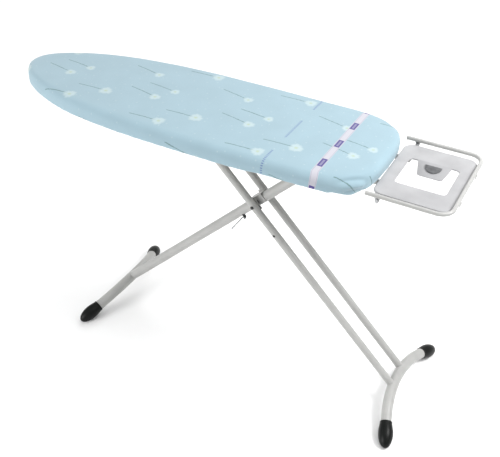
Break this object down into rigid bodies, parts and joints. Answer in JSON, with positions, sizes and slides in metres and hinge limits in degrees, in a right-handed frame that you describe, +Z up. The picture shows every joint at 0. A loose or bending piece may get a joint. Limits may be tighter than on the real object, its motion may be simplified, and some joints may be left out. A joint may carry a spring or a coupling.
{
  "type": "ironing board",
  "caption": "Folding ironing board with a padded patterned cover, crossed tube legs on arched feet with rubber caps, and a tubular iron rest at the heel end.",
  "frame": {"origin": "on the floor, midway between the nose tip and the outer tube of the iron rest, on the board's middle line", "axes": "+X from the nose to the iron rest, +Y to the far side, +Z up"},
  "size_m": [1.507, 0.5118, 0.9],
  "materials": {
    "cover_cloth": "matt woven cotton with a printed pattern",
    "foam": "matt",
    "painted_steel": "satin powder coat",
    "zinc_steel": "zinc plated",
    "grey_plastic": "matt",
    "black_plastic": "matt",
    "black_rubber": "matt"
  },
  "bodies": {
    "board": {"cover": "cover_cloth", "foam_pad": "foam", "hem_elastic": "foam", "deck_mesh": "painted_steel", "rim_frame": "painted_steel", "brace_rest": "painted_steel", "brace_hinge": "painted_steel", "brace_guide_heel": "painted_steel", "brace_guide_nose": "painted_steel", "guide_near": "painted_steel", "guide_far": "painted_steel", "guide_rivets": "zinc_steel", "hinge_clevis": "painted_steel", "hinge_pin": "zinc_steel", "rest_frame": "painted_steel", "rest_end_plugs": "grey_plastic", "rest_tray": "painted_steel", "rest_heel_pad": "grey_plastic", "rest_rod": "zinc_steel", "rest_lugs": "grey_plastic", "rest_tabs": "painted_steel", "rest_arm_near": "painted_steel", "rest_arm_far": "painted_steel", "rest_posts": "painted_steel", "rest_bolts": "zinc_steel"},
    "main_leg": {"main_leg_tube": "painted_steel", "main_foot_tube": "painted_steel", "main_cap_near": "black_rubber", "main_cap_far": "black_rubber", "main_top_plug": "black_plastic", "pivot_saddle": "painted_steel", "lock_bush": "black_plastic"},
    "slim_legs": {"slim_leg_near": "painted_steel", "slim_leg_far": "painted_steel", "slim_foot_tube": "painted_steel", "slim_cap_near": "black_rubber", "slim_cap_far": "black_rubber", "slim_top_plugs": "black_plastic", "pivot_axle": "zinc_steel", "pivot_plates": "painted_steel", "pivot_spacers": "black_plastic", "axle_caps": "black_plastic", "hole_plugs": "black_plastic", "slider_pin_near": "zinc_steel", "slider_pin_far": "zinc_steel", "lever_clip": "black_plastic"},
    "runners": {"runner_near": "black_plastic", "runner_far": "black_plastic"},
    "release_lever": {"cam_lever": "zinc_steel", "lever_grip": "black_plastic", "lever_spring": "zinc_steel"},
    "lock_wire": {"lock_wire": "zinc_steel"}
  },
  "joints": [
    {"name": "leg_fold", "type": "hinge", "parent": "board", "child": "main_leg", "pos_m": [0.3375, 0, 0.832], "axis": [0, 1, 0], "range_deg": [-4, 43]},
    {"name": "leg_cross", "type": "hinge", "parent": "main_leg", "child": "slim_legs", "pos_m": [0.11476, 0, 0.60926], "axis": [0, 1, 0], "range_deg": [-86, 8]},
    {"name": "runner_level", "type": "hinge", "parent": "slim_legs", "child": "runners", "pos_m": [-0.10798, 0, 0.832], "axis": [0, 1, 0], "range_deg": [-4, 43]},
    {"name": "lever_lift", "type": "hinge", "parent": "runners", "child": "release_lever", "pos_m": [-0.10798, 0, 0.832], "axis": [0, 1, 0], "range_deg": [0, 18], "stiffness_Nm_per_rad": 0.6, "springref_deg": -17.19},
    {"name": "wire_turn", "type": "hinge", "parent": "main_leg", "child": "lock_wire", "pos_m": [0.04971, -0.008, 0.54421], "axis": [0.7071, 0, -0.7071], "range_deg": [0, 90]}
  ],
  "couplings": [
    {"joint": "leg_cross", "follows": "leg_fold", "ratio": -2},
    {"joint": "runner_level", "follows": "leg_fold", "ratio": 1}
  ]
}
